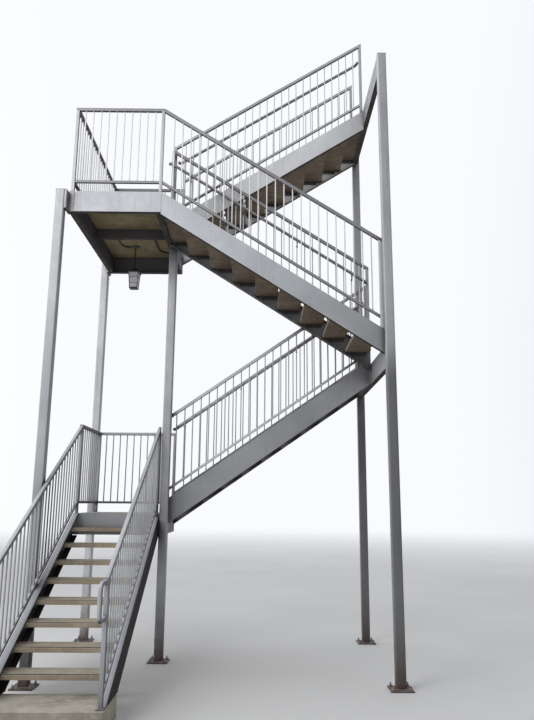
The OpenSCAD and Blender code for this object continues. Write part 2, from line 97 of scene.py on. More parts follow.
class Tree:
    def __init__(self, name):
        self.m = bpy.data.materials.new(name)
        self.m.use_nodes = True
        self.t = self.m.node_tree
        self.t.nodes.clear()
        self.out = self.n("ShaderNodeOutputMaterial")
        self.b = self.n("ShaderNodeBsdfPrincipled")
        self.t.links.new(self.b.outputs[0], self.out.inputs[0])
        self.co = self.n("ShaderNodeTexCoord").outputs["Object"]

    def n(self, kind, **kw):
        x = self.t.nodes.new(kind)
        for k, v in kw.items():
            setattr(x, k, v)
        return x

    def put(self, sock, v):
        if hasattr(v, "is_output"):
            self.t.links.new(v, sock)
        else:
            sock.default_value = v

    def noise(self, scale, detail=4, rough=0.55, dist=0.0, stretch=None, shift=(0, 0, 0)):
        co = self.co
        if stretch or shift != (0, 0, 0):
            mp = self.n("ShaderNodeMapping")
            self.put(mp.inputs["Vector"], co)
            mp.inputs["Scale"].default_value = stretch or (1, 1, 1)
            mp.inputs["Location"].default_value = shift
            co = mp.outputs[0]
        x = self.n("ShaderNodeTexNoise")
        self.put(x.inputs["Vector"], co)
        x.inputs["Scale"].default_value = scale
        x.inputs["Detail"].default_value = detail
        x.inputs["Roughness"].default_value = rough
        x.inputs["Distortion"].default_value = dist
        return x.outputs[0]

    def voro(self, scale, stretch=None, feature="F1"):
        co = self.co
        if stretch:
            mp = self.n("ShaderNodeMapping")
            self.put(mp.inputs["Vector"], co)
            mp.inputs["Scale"].default_value = stretch
            co = mp.outputs[0]
        x = self.n("ShaderNodeTexVoronoi", feature=feature)
        self.put(x.inputs["Vector"], co)
        x.inputs["Scale"].default_value = scale
        return x.outputs["Distance"]

    def rng(self, v, a, b, lo=0.0, hi=1.0):
        x = self.n("ShaderNodeMapRange", interpolation_type="SMOOTHSTEP")
        self.put(x.inputs["Value"], v)
        x.inputs["From Min"].default_value = a
        x.inputs["From Max"].default_value = b
        x.inputs["To Min"].default_value = lo
        x.inputs["To Max"].default_value = hi
        return x.outputs[0]

    def mul(self, a, b, op="MULTIPLY"):
        x = self.n("ShaderNodeMath", operation=op, use_clamp=op != "POWER")
        self.put(x.inputs[0], a)
        self.put(x.inputs[1], b)
        return x.outputs[0]

    def mix(self, f, a, b, kind="MIX"):
        x = self.n("ShaderNodeMix", data_type="RGBA", blend_type=kind)
        self.put(x.inputs["Factor"], f)
        for s, v in ((x.inputs[6], a), (x.inputs[7], b)):
            self.put(s, v if hasattr(v, "is_output") else (*v, 1))
        return x.outputs[2]

    def fmix(self, f, a, b):
        x = self.n("ShaderNodeMix", data_type="FLOAT")
        self.put(x.inputs["Factor"], f)
        self.put(x.inputs[2], a)
        self.put(x.inputs[3], b)
        return x.outputs[0]

    def ao(self, dist, samples=4, inside=False):
        x = self.n("ShaderNodeAmbientOcclusion", samples=samples, inside=inside)
        x.inputs["Distance"].default_value = dist
        return x.outputs["AO"]

    def z(self):
        s = self.n("ShaderNodeSeparateXYZ")
        self.put(s.inputs[0], self.co)
        return s.outputs[2]

    def nz(self):
        g = self.n("ShaderNodeNewGeometry")
        s = self.n("ShaderNodeSeparateXYZ")
        self.put(s.inputs[0], g.outputs["Normal"])
        return s.outputs[2]

    def x(self):
        s = self.n("ShaderNodeSeparateXYZ")
        self.put(s.inputs[0], self.co)
        return s.outputs[0]

    def nx(self):
        g = self.n("ShaderNodeNewGeometry")
        s = self.n("ShaderNodeSeparateXYZ")
        self.put(s.inputs[0], g.outputs["Normal"])
        return s.outputs[0]

    def bump(self, h, strength, dist, chain=None):
        x = self.n("ShaderNodeBump")
        x.inputs["Strength"].default_value = strength
        x.inputs["Distance"].default_value = dist
        self.put(x.inputs["Height"], h)
        if chain is not None:
            self.put(x.inputs["Normal"], chain)
        return x.outputs[0]

    def done(self, color, rough, normal=None, metallic=0.0):
        self.put(self.b.inputs["Base Color"], color if hasattr(color, "is_output") else (*color, 1))
        self.put(self.b.inputs["Roughness"], rough)
        self.put(self.b.inputs["Metallic"], metallic)
        if normal is not None:
            self.put(self.b.inputs["Normal"], normal)
        return self.m


def rust_col(t):
    a = t.mix(t.rng(t.noise(34, 6, 0.7), 0.35, 0.68), (0.055, 0.022, 0.012), (0.20, 0.075, 0.028))
    return t.mix(t.rng(t.noise(150, 3, 0.6), 0.5, 0.75), a, (0.33, 0.16, 0.07))


def paint(name, col, rust=0.5, streak=0.5, corner_dirt_and_shade=0.6, under=0.7, rough=0.42, foot=False, seed=0, deep_shade=0.9, shade=None, side_shade=None, east_shade=None):
    t = Tree(name)
    sh = (seed * 3.7, seed * 1.3, seed * 2.1)
    dark = tuple(c * 0.80 for c in col)
    light = tuple(min(1, c * 1.07) for c in col)
    base = t.mix(t.rng(t.noise(0.9, 4, 0.6, shift=sh), 0.32, 0.70), dark, light)
    base = t.mix(t.rng(t.noise(7, 6, 0.62, 0.4), 0.40, 0.75, 0, 0.40), base, tuple(c * 0.86 for c in col))
    # chalky bloom of old paint
    base = t.mix(t.rng(t.noise(3.1, 7, 0.7, shift=(5, 2, 9)), 0.56, 0.72, 0, 0.35), base, tuple(min(1, c * 1.18 + 0.02) for c in col))
    # dirt that rain has drawn down the faces
    runs = t.rng(t.noise(1.0, 5, 0.62, 0.15, stretch=(34, 34, 1.5), shift=sh), 0.53, 0.72)
    patch = t.rng(t.noise(1.6, 3, 0.5, shift=(9, 4, 2)), 0.38, 0.62)
    runs = t.mul(t.mul(runs, patch), streak)
    base = t.mix(runs, base, (0.215, 0.185, 0.150))
    fine = t.mul(t.rng(t.noise(1.0, 3, 0.5, stretch=(160, 160, 5)), 0.60, 0.78), 0.25 * streak)
    base = t.mix(fine, base, (0.30, 0.27, 0.24))
    if side_shade:
        # painted shade: faces turned one way, by the x of their normal, are darkened as if no light reached that side
        side_shade_mask = t.rng(t.nx(), side_shade[0], side_shade[1], 0, side_shade[2])
        base = t.mix(side_shade_mask, base, (0.050, 0.047, 0.049))
    if east_shade:
        # painted shade: the paint darkens towards +x, for the light that falls off towards the walkways
        base = t.mix(t.rng(t.x(), east_shade[0], east_shade[1], 0, east_shade[2]), base, (0.085, 0.082, 0.080))
    if shade:
        # painted shade: the paint is darkened below the height shade[0], for the shade under the walkway
        base = t.mix(t.rng(t.z(), shade[0] - 0.25, shade[0] + 0.25, 1 - shade[1], 0), base, (0.05, 0.048, 0.047))
    # grime and painted shade where parts meet, darkened by a short ambient-occlusion mask
    ao = t.ao(0.055, 4)
    grime_and_shade = t.mul(t.rng(ao, 0.35, 0.93, 1, 0), corner_dirt_and_shade)
    grime_and_shade = t.mul(grime_and_shade, t.rng(t.noise(16, 5, 0.65), 0.25, 0.6, 0.45, 1))
    base = t.mix(grime_and_shade, base, (0.115, 0.094, 0.076))
    # rust: small chips, and blooms that start in the corners
    chips = t.mul(t.rng(t.noise(85, 4, 0.75), 0.665, 0.70), t.rng(t.noise(2.2, 3, 0.6, shift=(1, 8, 3)), 0.46, 0.62))
    bloom = t.rng(t.noise(5.2, 9, 0.74, 0.5, shift=sh), 0.640, 0.700)
    bloom = t.mul(bloom, t.rng(ao, 0.55, 0.98, 1, 0.35))
    rm = t.mul(t.mul(chips, 0.9, "MULTIPLY"), 1.0)
    rm = t.mul(t.mul(rm, bloom, "MAXIMUM"), rust)
    if foot:
        zz = t.z()
        low = t.mul(t.rng(zz, 0.02, 0.75, 1, 0), t.rng(t.noise(9, 7, 0.7), 0.30, 0.62))
        base = t.mix(t.mul(low, 0.75), base, (0.20, 0.165, 0.12))
        lr = t.mul(t.rng(zz, 0.01, 0.22, 1, 0), t.rng(t.noise(22, 8, 0.75), 0.46, 0.60))
        rm = t.mul(rm, t.mul(lr, 0.9), "MAXIMUM")
    # painted shade in sheltered corners, recesses and under things, from a wide ambient-occlusion mask
    wide_ao_shade = t.ao(1.1, 8)
    base = t.mix(t.mul(t.rng(wide_ao_shade, 0.88, 0.44), deep_shade), base, (0.042, 0.036, 0.037))
    # faces that look down: brown road dirt and primer, darkened further as painted shade
    down_dirt_and_shade = t.mul(t.rng(t.nz(), -0.35, -0.85), under)
    dcol = t.mix(t.rng(t.noise(4.5, 6, 0.65), 0.35, 0.7), (0.034, 0.029, 0.028), (0.082, 0.066, 0.055))
    base = t.mix(down_dirt_and_shade, base, dcol)
    base = t.mix(rm, base, rust_col(t))
    ro = t.fmix(t.rng(t.noise(12, 5, 0.6), 0.3, 0.7), rough - 0.07, rough + 0.12)
    ro = t.fmix(t.mul(grime_and_shade, 0.9), ro, 0.82)
    ro = t.fmix(runs, ro, 0.75)
    flat = t.mul(down_dirt_and_shade, side_shade_mask, "MAXIMUM") if side_shade and side_shade[0] > 0 else down_dirt_and_shade
    ro = t.fmix(flat, ro, 0.92)
    ro = t.fmix(rm, ro, 0.92)
    t.put(t.b.inputs["Specular IOR Level"], t.fmix(flat, 0.5, 0.06))
    nb = t.bump(t.noise(260, 3, 0.55), 0.10, 0.0012)
    nb = t.bump(t.noise(14, 4, 0.5), 0.10, 0.006, nb)
    nb = t.bump(rm, 0.55, 0.0016, nb)
    return t.done(base, ro, nb)


def cast(name, top, side, under, worn=0.5, scale=1.0, broom=None):
    """precast concrete: pitted, stained, brown stain and painted shade on the faces that look down"""
    t = Tree(name)
    nz = t.nz()
    c = t.mix(t.rng(nz, 0.3, 0.8), side, top)
    c = t.mix(t.rng(t.noise(2.3 * scale, 6, 0.66), 0.34, 0.70), c, tuple(x * 0.66 for x in side))
    c = t.mix(t.rng(t.noise(11 * scale, 8, 0.7, 0.3), 0.47, 0.72, 0, 0.6), c, tuple(min(1, x * 1.25) for x in top))
    c = t.mix(t.rng(t.noise(60, 5, 0.7), 0.58, 0.72, 0, 0.5), c, (0.13, 0.11, 0.09))
    # grime and painted shade in corners, from a short ambient-occlusion mask
    ao = t.ao(0.07, 4)
    c = t.mix(t.mul(t.rng(ao, 0.35, 0.92, 0.85, 0), t.rng(t.noise(18, 5, 0.6), 0.2, 0.6, 0.5, 1)), c, (0.10, 0.082, 0.062))
    # faces that look down: brown stain, darkened further as painted shade
    down_dirt_and_shade = t.rng(nz, -0.3, -0.8)
    u = t.mix(t.rng(t.noise(1.7, 6, 0.7, 0.6, stretch=(1, 2.2, 1)), 0.33, 0.68), under, tuple(min(1, x * 1.75) for x in under))
    u = t.mix(t.rng(t.noise(8, 8, 0.75), 0.50, 0.72, 0, 0.65), u, tuple(x * 0.42 for x in under))
    u = t.mix(t.rng(t.noise(3.3, 4, 0.6, shift=(4, 4, 1)), 0.60, 0.74, 0, 0.55), u, (0.30, 0.27, 0.20))
    c = t.mix(down_dirt_and_shade, c, u)
    pits = t.rng(t.voro(150), 0.10, 0.26, 1, 0)
    pits = t.mul(pits, t.rng(t.noise(30, 3, 0.6), 0.48, 0.60))
    c = t.mix(t.mul(pits, 0.7), c, (0.07, 0.058, 0.045))
    h = t.noise(70, 8, 0.75)
    nb = t.bump(h, 0.35, 0.0022)
    nb = t.bump(t.noise(9, 5, 0.6), 0.25, 0.006, nb)
    nb = t.bump(t.mul(pits, -1.0, "MULTIPLY") if False else t.rng(pits, 0, 1, 1, 0), 0.5, 0.002, nb)
    if broom:
        nb = t.bump(t.noise(1, 3, 0.6, stretch=broom), 0.45, 0.0018, nb)
    return t.done(c, t.fmix(t.rng(t.noise(14, 4, 0.6), 0.3, 0.7), 0.80, 0.95), nb)


# the paints below are copies of one grey paint: their lighter and darker base colours are painted light and painted
# shade, and the side, east, height and deep shade settings paint shade into them
M_FRAME = paint("frame_paint", (0.505, 0.522, 0.556), rust=0.55, streak=0.22, corner_dirt_and_shade=0.75, under=0.97, rough=0.40, side_shade=(0.35, 0.8, 0.55))
M_FRAME_3 = paint("frame_paint_third_flight", (0.515, 0.532, 0.562), rust=0.6, streak=0.25, corner_dirt_and_shade=0.75, under=0.97, rough=0.40, deep_shade=0.70, seed=11, side_shade=(0.35, 0.8, 0.55), east_shade=(0.3, 1.9, 0.38))
# painted light: a lighter copy of the frame paint for flight 4
M_FRAME_4 = paint("frame_paint_fourth_flight", (0.770, 0.780, 0.800), rust=0.6, streak=0.35, corner_dirt_and_shade=0.75, under=0.97, rough=0.40, deep_shade=0.22, seed=15, side_shade=(0.35, 0.8, 0.55), east_shade=(0.8, 1.75, 0.16))
M_FRAME_OPEN = paint("frame_paint_open", (0.505, 0.522, 0.556), rust=0.75, streak=0.6, corner_dirt_and_shade=0.75, under=0.97, rough=0.40, deep_shade=0.15, seed=8, side_shade=(0.35, 0.8, 0.5))
# painted shade: the outer webs of flight 1's stringers that face +x are painted almost black
M_STRINGER = paint("frame_paint_first_flight", (0.505, 0.522, 0.556), rust=0.8, streak=0.55, corner_dirt_and_shade=0.8, under=0.97, rough=0.40, seed=9, side_shade=(0.3, 0.75, 0.97))
# painted shade: a darker copy of the frame paint for flight 2's stringers and the walkway headers, which stand in the
# walkway's shade
M_FRAME_LOW = paint("frame_paint_painted_shade", (0.365, 0.377, 0.397), rust=0.8, streak=0.6, corner_dirt_and_shade=0.8, under=0.97, rough=0.42, seed=1, deep_shade=0.65, side_shade=(0.35, 0.8, 0.5))
M_POST = paint("post_paint", (0.505, 0.518, 0.552), rust=0.7, streak=0.4, corner_dirt_and_shade=0.7, under=0.9, rough=0.42, foot=True, seed=2, side_shade=(0.35, 0.8, 0.28))
# painted light: a lighter copy of the post paint for the back left post
M_POST_BACK = paint("post_paint_back", (0.740, 0.750, 0.770), rust=0.7, streak=0.4, corner_dirt_and_shade=0.7, under=0.9, rough=0.42, foot=True, seed=14, deep_shade=0.6, side_shade=(0.35, 0.8, 0.28))
# painted shade: the near walkway post is darkened below the second walkway and on all but its left-facing faces
M_POST_NEAR = paint("post_paint_painted_shade", (0.505, 0.518, 0.552), rust=0.8, streak=0.65, corner_dirt_and_shade=0.75, under=0.9, rough=0.44, foot=True, seed=3, shade=(3.3, 0.29), side_shade=(-0.9, -0.35, 0.16))
M_POST_FAR = paint("post_paint_shaded", (0.450, 0.455, 0.490), rust=0.8, streak=0.6, corner_dirt_and_shade=0.8, under=0.9, rough=0.46, foot=True, seed=7, shade=(3.3, 0.27))
M_RAIL = paint("rail_paint", (0.525, 0.538, 0.568), rust=0.7, streak=0.3, corner_dirt_and_shade=0.8, under=0.9, rough=0.36, seed=4, side_shade=(0.35, 0.8, 0.60))
# painted shade: a darker copy of the rail paint for the rails, set against the brighter posts and balusters
M_GRIP = paint("rail_paint_painted_shade", (0.285, 0.290, 0.305), rust=0.7, streak=0.3, corner_dirt_and_shade=0.8, under=0.75, rough=0.40, seed=12, side_shade=(0.35, 0.8, 0.40))
# painted light: a lighter copy of the paint for the balusters
M_BAL = paint("baluster_paint", (0.800, 0.810, 0.830), rust=0.5, streak=0.25, corner_dirt_and_shade=0.7, under=0.9, rough=0.36, deep_shade=0.5, seed=16, side_shade=(0.35, 0.8, 0.35))
# painted light: a brighter copy of the rail paint without the wide painted shade, for the end posts of flight 3's near
# railing beside the walkway post
M_RAIL_LIT = paint("rail_paint_painted_light", (0.600, 0.612, 0.640), rust=0.7, streak=0.3, corner_dirt_and_shade=0.2, under=0.9, rough=0.36, deep_shade=0.0, seed=17, side_shade=(0.35, 0.8, 0.30))
# painted light: a lighter copy of the rail paint for flight 2's rails and handrail
M_RAIL_2 = paint("rail_paint_second_flight", (0.700, 0.712, 0.735), rust=0.7, streak=0.3, corner_dirt_and_shade=0.8, under=0.97, rough=0.36, seed=13, side_shade=(0.35, 0.8, 0.60))
M_PLATE = paint("plate_paint", (0.30, 0.30, 0.315), rust=1.0, streak=0.4, corner_dirt_and_shade=0.9, under=0.9, rough=0.55, foot=True, seed=5)
M_ANGLE = paint("angle_paint", (0.235, 0.225, 0.215), rust=1.0, streak=0.4, corner_dirt_and_shade=0.9, under=0.6, rough=0.55, seed=6)
M_TREAD = cast("tread_concrete", (0.43, 0.385, 0.31), (0.46, 0.385, 0.285), (0.120, 0.090, 0.063))
M_DECK = cast("deck_concrete", (0.40, 0.37, 0.31), (0.36, 0.32, 0.26), (0.142, 0.116, 0.062))
M_STEP = cast("step_concrete", (0.48, 0.45, 0.38), (0.40, 0.365, 0.30), (0.2, 0.17, 0.13), broom=(4, 240, 4))


def simple_metal(name, col, rough, metallic=0.0):
    t = Tree(name)
    c = t.mix(t.rng(t.noise(22, 6, 0.65), 0.35, 0.7), tuple(x * 0.6 for x in col), tuple(min(1, x * 1.35) for x in col))
    rm = t.mul(t.rng(t.noise(60, 6, 0.75), 0.62, 0.68), t.rng(t.ao(0.03, 4), 0.4, 0.95, 1, 0.25))
    c = t.mix(rm, c, rust_col(t))
    ro = t.fmix(rm, t.rng(t.noise(40, 4, 0.6), 0.3, 0.7, rough - 0.08, rough + 0.12), 0.9)
    return t.done(c, ro, t.bump(t.noise(180, 4, 0.6), 0.2, 0.0008), metallic)


M_DARK = simple_metal("lantern_black", (0.028, 0.027, 0.030), 0.45)
M_COND = simple_metal("conduit_dark", (0.030, 0.030, 0.034), 0.5)
M_BOLT = simple_metal("galvanised_bolts", (0.30, 0.30, 0.31), 0.48, 0.75)
M_WELD = simple_metal("painted_weld", (0.38, 0.385, 0.42), 0.5)


def glass():
    t = Tree("frosted_glass")
    c = t.mix(t.rng(t.noise(30, 5, 0.6), 0.3, 0.7), (0.78, 0.73, 0.77), (0.93, 0.90, 0.93))
    # dirt and painted shade along the pane edges, from a short ambient-occlusion mask
    c = t.mix(t.rng(t.ao(0.02, 4), 0.3, 0.9, 0.7, 0), c, (0.30, 0.26, 0.20))
    t.b.inputs["Transmission Weight"].default_value = 0.3
    t.b.inputs["IOR"].default_value = 1.45
    return t.done(c, t.rng(t.noise(60, 3, 0.5), 0.3, 0.7, 0.28, 0.42), t.bump(t.noise(45, 3, 0.5), 0.25, 0.0015))


M_GLASS = glass()


def bulb_mat():
    t = Tree("opal_bulb")
    c = t.mix(t.rng(t.noise(12, 3, 0.5), 0.3, 0.7), (0.80, 0.78, 0.72), (0.88, 0.86, 0.80))
    return t.done(c, t.rng(t.noise(30, 3, 0.5), 0.3, 0.7, 0.20, 0.32), t.bump(t.noise(60, 2, 0.5), 0.05, 0.0005))


M_BULB = bulb_mat()
M_GRIT = simple_metal("abrasive_strip", (0.050, 0.047, 0.043), 0.88)

# ------------------------------------------------------------------ mesh tools


def finish_mesh(name, bm, mats, replaces=(), angle=35):
    bmesh.ops.recalc_face_normals(bm, faces=bm.faces)
    me = bpy.data.meshes.new(name)
    for f in bm.faces:
        f.smooth = True
    bm.to_mesh(me)
    bm.free()
    me.set_sharp_from_angle(angle=math.radians(angle))
    o = bpy.data.objects.new(name, me)
    bpy.context.scene.collection.objects.link(o)
    for m in mats if isinstance(mats, (list, tuple)) else [mats]:
        me.materials.append(m)
    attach(o, "root")
    if replaces:
        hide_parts(*replaces)
    return o


def loft(bm, rings, mat=0, caps=(True, True), closed=True):
    vs = [[bm.verts.new(p) for p in r] for r in rings]
    n = len(rings[0])
    for a, b in zip(vs, vs[1:]):
        for i in range(n if closed else n - 1):
            j = (i + 1) % n
            f = bm.faces.new((a[i], a[j], b[j], b[i]))
            f.material_index = mat
    if caps[0]:
        bm.faces.new(list(reversed(vs[0]))).material_index = mat
    if caps[1]:
        bm.faces.new(vs[-1]).material_index = mat
    return vs


def rrect(w, h, r, seg=2):
    """rounded rectangle outline, metres"""
    pts = []
    for cx, cy, a0 in ((w / 2 - r, h / 2 - r, 0), (-w / 2 + r, h / 2 - r, 90), (-w / 2 + r, -h / 2 + r, 180), (w / 2 - r, -h / 2 + r, 270)):
        for i in range(seg + 1):
            a = math.radians(a0 + 90 * i / seg)
            pts.append((cx + r * math.cos(a), cy + r * math.sin(a)))
    return pts


def bar(bm, p0, p1, w, h, side, r=0.0015, seg=2, mat=0, ends=None, vert=False):
    """bar of rounded rectangular section from p0 to p1. With vert the section is kept plumb (a plumb cut)."""
    d = (p1 - p0).normalized()
    side = side.normalized()
    if vert:
        up = EZz * (1 / max(0.2, math.sqrt(max(1e-9, 1 - d.z * d.z))))
    else:
        up = side.cross(d).normalized()
    pr = rrect(w, h, r, seg)
    rings = [[p + side * u + up * v for u, v in pr] for p in (p0, p1)]
    if ends:  # small chamfer at the free ends
        e = ends
        pr2 = rrect(w - 2 * e, h - 2 * e, max(0.0003, r - e / 2), seg)
        rings = [[p0 + side * u + up * v for u, v in pr2], [p0 + d * e + side * u + up * v for u, v in pr],
                 [p1 - d * e + side * u + up * v for u, v in pr], [p1 + side * u + up * v for u, v in pr2]]
    loft(bm, rings, mat)


def frames(pts):
    T = []
    for i in range(len(pts)):
        a, b = pts[max(0, i - 1)], pts[min(len(pts) - 1, i + 1)]
        T.append((b - a).normalized())
    n = T[0].orthogonal().normalized()
    N = [n]
    for i in range(1, len(T)):
        ax = T[i - 1].cross(T[i])
        if ax.length > 1e-9:
            n = Matrix.Rotation(T[i - 1].angle(T[i]), 3, ax.normalized()) @ n
        n = (n - T[i] * n.dot(T[i])).normalized()
        N.append(n)
    return T, N


def tube(bm, pts, r, seg=18, mat=0, domed=(True, True)):
    T, N = frames(pts)
    rings = []

    def ring(p, t, n, rr):
        b = t.cross(n)
        return [p + (n * math.cos(2 * math.pi * i / seg) + b * math.sin(2 * math.pi * i / seg)) * rr for i in range(seg)]
    if domed[0]:
        for q, f in ((0.38, 0.55), (0.12, 0.9)):
            rings.append(ring(pts[0] - T[0] * (r * 0.30 * (q / 0.38)) , T[0], N[0], r * f))
    for p, t, n in zip(pts, T, N):
        rings.append(ring(p, t, n, r))
    if domed[1]:
        for q, f in ((0.12, 0.9), (0.38, 0.55)):
            rings.append(ring(pts[-1] + T[-1] * (r * 0.30 * (q / 0.38)), T[-1], N[-1], r * f))
    loft(bm, rings, mat)


def arc(c, a, b, a0, a1, r, n=9):
    """points of an arc about c in the plane of unit vectors a, b"""
    return [c + a * (r * math.cos(math.radians(a0 + (a1 - a0) * i / n))) + b * (r * math.sin(math.radians(a0 + (a1 - a0) * i / n))) for i in range(n + 1)]


def cyl(bm, p0, p1, r0, r1=None, seg=16, mat=0, caps=(True, True)):
    r1 = r0 if r1 is None else r1
    t = (p1 - p0).normalized()
    n = t.orthogonal().normalized()
    b = t.cross(n)
    ring = lambda p, r: [p + (n * math.cos(2 * math.pi * i / seg) + b * math.sin(2 * math.pi * i / seg)) * r for i in range(seg)]
    loft(bm, [ring(p0, r0), ring(p1, r1)], mat, caps)


def lathe(bm, base, axis, prof, seg=24, mat=0):
    """profile of (radius, height) pairs about axis"""
    axis = axis.normalized()
    n = axis.orthogonal().normalized()
    b = axis.cross(n)
    rings = [[base + axis * h + (n * math.cos(2 * math.pi * i / seg) + b * math.sin(2 * math.pi * i / seg)) * max(r, 1e-5) for i in range(seg)] for r, h in prof]
    loft(bm, rings, mat)


def hexbolt(bm, p, axis, d=0.016, nut=0.013, stub=0.014, mat=0, turn=0.0):
    """washer, nut with turned faces, threaded end, standing on p along axis"""
    axis = axis.normalized()
    lathe(bm, p, axis, [(d * 0.95, 0), (d * 1.03, 0.0008), (d * 1.03, 0.0024), (d * 0.95, 0.003)], 20, mat)
    n = axis.orthogonal().normalized()
    n = Matrix.Rotation(turn, 3, axis) @ n
    b = axis.cross(n)
    R = d * 0.93
    hx = lambda h, r: [p + axis * h + (n * math.cos(math.pi / 3 * i) + b * math.sin(math.pi / 3 * i)) * r for i in range(6)]
    h0, h1 = 0.003, 0.003 + nut
    loft(bm, [hx(h0, R * 0.93), hx(h0 + 0.0012, R), hx(h1 - 0.0016, R), hx(h1, R * 0.88)], mat)
    # thread as fine rings
    prof = [(d / 2, h1 - 0.001)]
    k = 0
    while k * 0.002 < stub:
        prof += [(d / 2, h1 + k * 0.002 + 0.0004), (d / 2 * 0.90, h1 + k * 0.002 + 0.0012)]
        k += 1
    prof += [(d / 2 * 0.9, h1 + stub), (d / 2 * 0.7, h1 + stub + 0.001)]
    lathe(bm, p, axis, prof, 12, mat)


def bead(bm, p0, p1, r=0.0035, mat=0, step=0.007):
    """run of weld: overlapping scales along a joint"""
    L = (p1 - p0).length
    n = max(2, int(L / step))
    t = (p1 - p0).normalized()
    a = t.orthogonal().normalized()
    b = t.cross(a)
    rings = []
    for i in range(n + 1):
        for q, f in ((0.0, 0.78), (0.5, 1.0)):
            u = min(L, (i + q) * L / n)
            rr = r * f * (0.92 + 0.16 * random.random())
            rings.append([p0 + t * u + (a * math.cos(math.pi / 3 * j) + b * math.sin(math.pi / 3 * j)) * rr for j in range(6)])
    loft(bm, rings, mat)


def cprof(depth, f, w, t, toe):
    """channel section with sloped inner flange faces and rounded roots and toes.
    Outline of (across, up) pairs in mm, from the back of the web; toes at +toe; up is 0 at the top"""
    P = []
    tr = 4.0   # toe rounding
    rr = 9.0   # root fillet
    sl = 0.075  # slope of the inner flange faces

    def arcp(cx, cy, r, a0, a1, n=4):
        for i in range(n + 1):
            a = math.radians(a0 + (a1 - a0) * i / n)
            P.append((cx + r * math.cos(a), cy + r * math.sin(a)))
    P.append((0.8, 0)); P.append((0, -0.8))
    P.append((0, -depth + 0.8)); P.append((0.8, -depth))
    P.append((f - 0.8, -depth)); P.append((f, -depth + 0.8))
    tt = t - sl * (f - w) / 2     # thickness at the toe
    arcp(f - tr, -depth + tt - tr + 0.6, tr, 0, 85, 3)
    yr = -depth + t + sl * (f - w) / 2
    arcp(w + rr, yr + rr, rr, 268, 180, 4)
    arcp(w + rr, -yr - depth - rr, rr, 180, 92, 4)
    arcp(f - tr, -tt + tr - 0.6, tr, -85, 0, 3)
    P.append((f, -0.8)); P.append((f - 0.8, 0))
    return [(x * toe, y) for x, y in P]


def channel(bm, a, b, depth, f, w, t, side, toe, zscale=1.0, mat=0):
    """a, b: points on the back of the web at the top edge; side: unit vector of +across"""
    pr = cprof(depth, f, w, t, toe)
    rings = [[p + side * (x / 1000) + EZz * (y / 1000 * zscale) for x, y in pr] for p in (a, b)]
    loft(bm, rings, mat)


# ------------------------------------------------------------------ railings
bm_weld = bmesh.new()


def weldring(p, axis, r=0.0095, h=0.0035):
    axis = axis.normalized()
    n = axis.orthogonal().normalized()
    b = axis.cross(n)
    s = 6
    ph = random.random() * 3
    ring = lambda hh, rr: [p + axis * hh + (n * math.cos(2 * math.pi * i / s + ph) + b * math.sin(2 * math.pi * i / s + ph)) * rr * (0.93 + 0.14 * random.random()) for i in range(s)]
    loft(bm_weld, [ring(-0.001, r), ring(h * 0.45, r * 0.93), ring(h, r * 0.68)])


def panel(bm, axis, plane, a, b, zs, s, hh, ends=(1, 1), rb=RB, foot=None, grip=1):
    P = (lambda t, z: W(t, plane, z)) if axis == "x" else (lambda t, z: W(plane, t, z))
    side = EYy if axis == "x" else EXx
    z = lambda t: zs + (t - a) * s
    k = kk(s)
    n = math.ceil((b - a - RT) / BS)
    p = (b - a - RT) / n
    m = 0.001
    # rails: square tube with rounded corners, the ends shown as open tube would be plugged
    bar(bm, P(a + 0.2, z(a + 0.2) + hh), P(b - 0.2, z(b - 0.2) + hh), RT * m, RT * m, side, r=0.0045, seg=3, vert=True, mat=grip)
    bar(bm, P(a + 2, z(a + 2) + rb), P(b - 2, z(b - 2) + rb), RBT * m, RBT * m, side, r=0.0035, seg=3, vert=True, mat=grip)
    for i in range(1, n):
        x = a + RT / 2 + i * p
        z0, z1 = z(x) + rb, z(x) + hh
        bar(bm, P(x, z0), P(x, z1), BAL * m, BAL * m, side, r=0.0016, seg=1, mat=2)
        weldring(P(x, z0 + RBT / 2 * k - 1.0), EZz)
        weldring(P(x, z1 - RT / 2 * k + 1.0), -EZz)
    for e, x in ((ends[0], a + RT / 2), (ends[1], b - RT / 2)):
        if e:
            zb = foot if foot and x < (a + b) / 2 else z(x)
            zt = z(x) + hh - 4
            bar(bm, P(x, zb), P(x, zt), (RT - 1) * m, (RT - 1) * m, side, r=0.0045, seg=3, ends=0.0012)
            weld_square(P(x, zb), side, RT / 2)
    return n, p


def weld_square(p, side, half, bmx=None):
    b_ = bm_weld if bmx is None else bmx
    other = side.cross(EZz)
    h = half / 1000
    c4 = [p + side * (sx * h) + other * (sy * h) + EZz * 0.0012 for sx, sy in ((-1, -1), (1, -1), (1, 1), (-1, 1))]
    for i in range(4):
        bead(b_, c4[i], c4[(i + 1) % 4], 0.0030)


def newel(bm, P, side, zb, zt):
    bar(bm, P(zb), P(zt), RT / 1000, RT / 1000, side, r=0.0045, seg=3, ends=0.0015)
    weld_square(P(zb), side, RT / 2)


def railpiece(name, node, fn, mats=None):
    bm = bmesh.new()
    fn(bm)
    return finish_mesh(name, bm, mats or (M_RAIL, M_GRIP, M_BAL), (node,))


